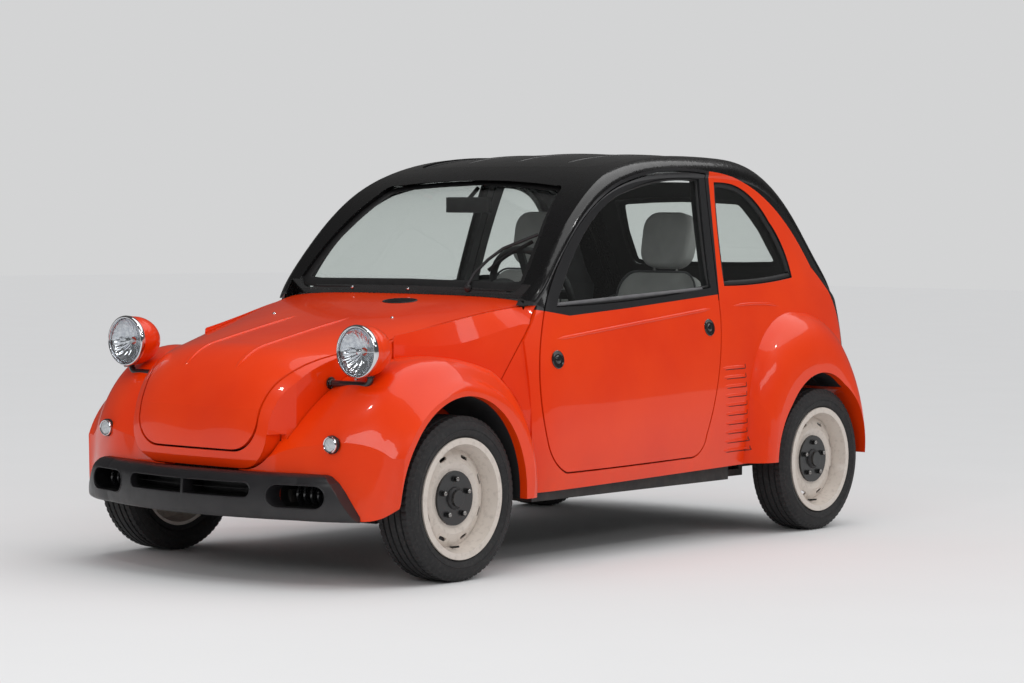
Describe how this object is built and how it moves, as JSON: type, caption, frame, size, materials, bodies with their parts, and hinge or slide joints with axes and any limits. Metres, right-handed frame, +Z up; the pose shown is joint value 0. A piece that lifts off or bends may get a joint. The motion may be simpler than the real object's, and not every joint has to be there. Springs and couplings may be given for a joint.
{
  "type": "concept car",
  "caption": "Small city car with an arched black roof over orange panels, round lamps on stalks, flared fenders and pressed steel wheels.",
  "frame": {"origin": "on the ground under the middle of the car", "axes": "+Z up, +Y towards the tail, so the nose faces -Y, and +X towards the left side"},
  "size_m": [1.548, 3.2547, 1.4999],
  "materials": {
    "body_paint": "gloss",
    "black_paint": "satin",
    "bumper_plastic": "satin",
    "glass": "clear",
    "tyre_rubber": "matte",
    "wheel_paint": "satin",
    "lamp_clear": "clear",
    "lamp_red": "gloss",
    "seat_cloth": "woven",
    "trim_plastic": "matte",
    "chassis_paint": "satin",
    "engine_iron": "rough"
  },
  "bodies": {
    "body": {"body_side_left": "body_paint", "body_side_right": "body_paint", "quarter_glass": "glass", "roof_hoop": "black_paint", "tail_panel": "body_paint", "roof_panel": "black_paint", "windscreen": "glass", "scuttle": "black_paint", "front_fender_left": "body_paint", "front_fender_right": "body_paint", "nose_panel": "body_paint", "front_bumper": "bumper_plastic", "rear_bumper": "bumper_plastic", "headlamp_housings": "body_paint", "front_lamps": "lamp_clear", "tail_lamps": "lamp_red", "dashboard": "trim_plastic", "seat_left": "seat_cloth", "seat_right": "seat_cloth", "rear_bench": "seat_cloth", "mirror_inside": "trim_plastic", "wiper": "trim_plastic", "engine_block": "engine_iron", "radiator": "chassis_paint", "floor_pan": "chassis_paint", "front_suspension": "chassis_paint", "rear_axle": "chassis_paint", "exhaust": "chassis_paint"},
    "door_left": {"door_left": "body_paint", "door_glass_left": "glass"},
    "door_right": {"door_right": "body_paint", "door_glass_right": "glass"},
    "bonnet": {"bonnet": "body_paint"},
    "tailgate": {"tailgate": "body_paint", "tailgate_glass": "glass"},
    "knuckle_left": {"knuckle_left": "chassis_paint"},
    "knuckle_right": {"knuckle_right": "chassis_paint"},
    "steering_wheel": {"steering_wheel": "trim_plastic"},
    "wheel_front_left": {"tyre_front_left": "tyre_rubber", "rim_front_left": "wheel_paint"},
    "wheel_front_right": {"tyre_front_right": "tyre_rubber", "rim_front_right": "wheel_paint"},
    "wheel_rear_left": {"tyre_rear_left": "tyre_rubber", "rim_rear_left": "wheel_paint"},
    "wheel_rear_right": {"tyre_rear_right": "tyre_rubber", "rim_rear_right": "wheel_paint"}
  },
  "joints": [
    {"name": "door_left_hinge", "type": "hinge", "parent": "body", "child": "door_left", "pos_m": [0.699, -0.469, 0.55], "axis": [0.025, 0, -0.9997], "range_deg": [0, 65]},
    {"name": "door_right_hinge", "type": "hinge", "parent": "body", "child": "door_right", "pos_m": [-0.699, -0.469, 0.55], "axis": [0.025, 0, 0.9997], "range_deg": [0, 65]},
    {"name": "bonnet_hinge", "type": "hinge", "parent": "body", "child": "bonnet", "pos_m": [0, -0.475, 0.958], "axis": [-1, 0, 0], "range_deg": [0, 55]},
    {"name": "tailgate_hinge", "type": "hinge", "parent": "body", "child": "tailgate", "pos_m": [0, 1.169, 1.417], "axis": [1, 0, 0], "range_deg": [0, 78]},
    {"name": "steer_left", "type": "hinge", "parent": "body", "child": "knuckle_left", "pos_m": [0.68, -1.035, 0.284], "axis": [0, 0, 1], "range_deg": [-32, 32]},
    {"name": "steer_right", "type": "hinge", "parent": "body", "child": "knuckle_right", "pos_m": [-0.68, -1.035, 0.284], "axis": [0, 0, 1], "range_deg": [-32, 32]},
    {"name": "steering_wheel_turn", "type": "hinge", "parent": "body", "child": "steering_wheel", "pos_m": [0.352, -0.167, 0.96], "axis": [0, 0.9135, 0.4067], "range_deg": [-480, 480]},
    {"name": "spin_front_left", "type": "hinge", "parent": "knuckle_left", "child": "wheel_front_left", "pos_m": [0.6795, -1.035, 0.284], "axis": [1, 0, 0], "continuous": true},
    {"name": "spin_rear_left", "type": "hinge", "parent": "body", "child": "wheel_rear_left", "pos_m": [0.6795, 1.189, 0.284], "axis": [1, 0, 0], "continuous": true},
    {"name": "spin_front_right", "type": "hinge", "parent": "knuckle_right", "child": "wheel_front_right", "pos_m": [-0.6795, -1.035, 0.284], "axis": [1, 0, 0], "continuous": true},
    {"name": "spin_rear_right", "type": "hinge", "parent": "body", "child": "wheel_rear_right", "pos_m": [-0.6795, 1.189, 0.284], "axis": [1, 0, 0], "continuous": true}
  ],
  "couplings": [
    {"joint": "steer_right", "follows": "steer_left", "ratio": 1},
    {"joint": "steering_wheel_turn", "follows": "steer_left", "ratio": 15}
  ]
}
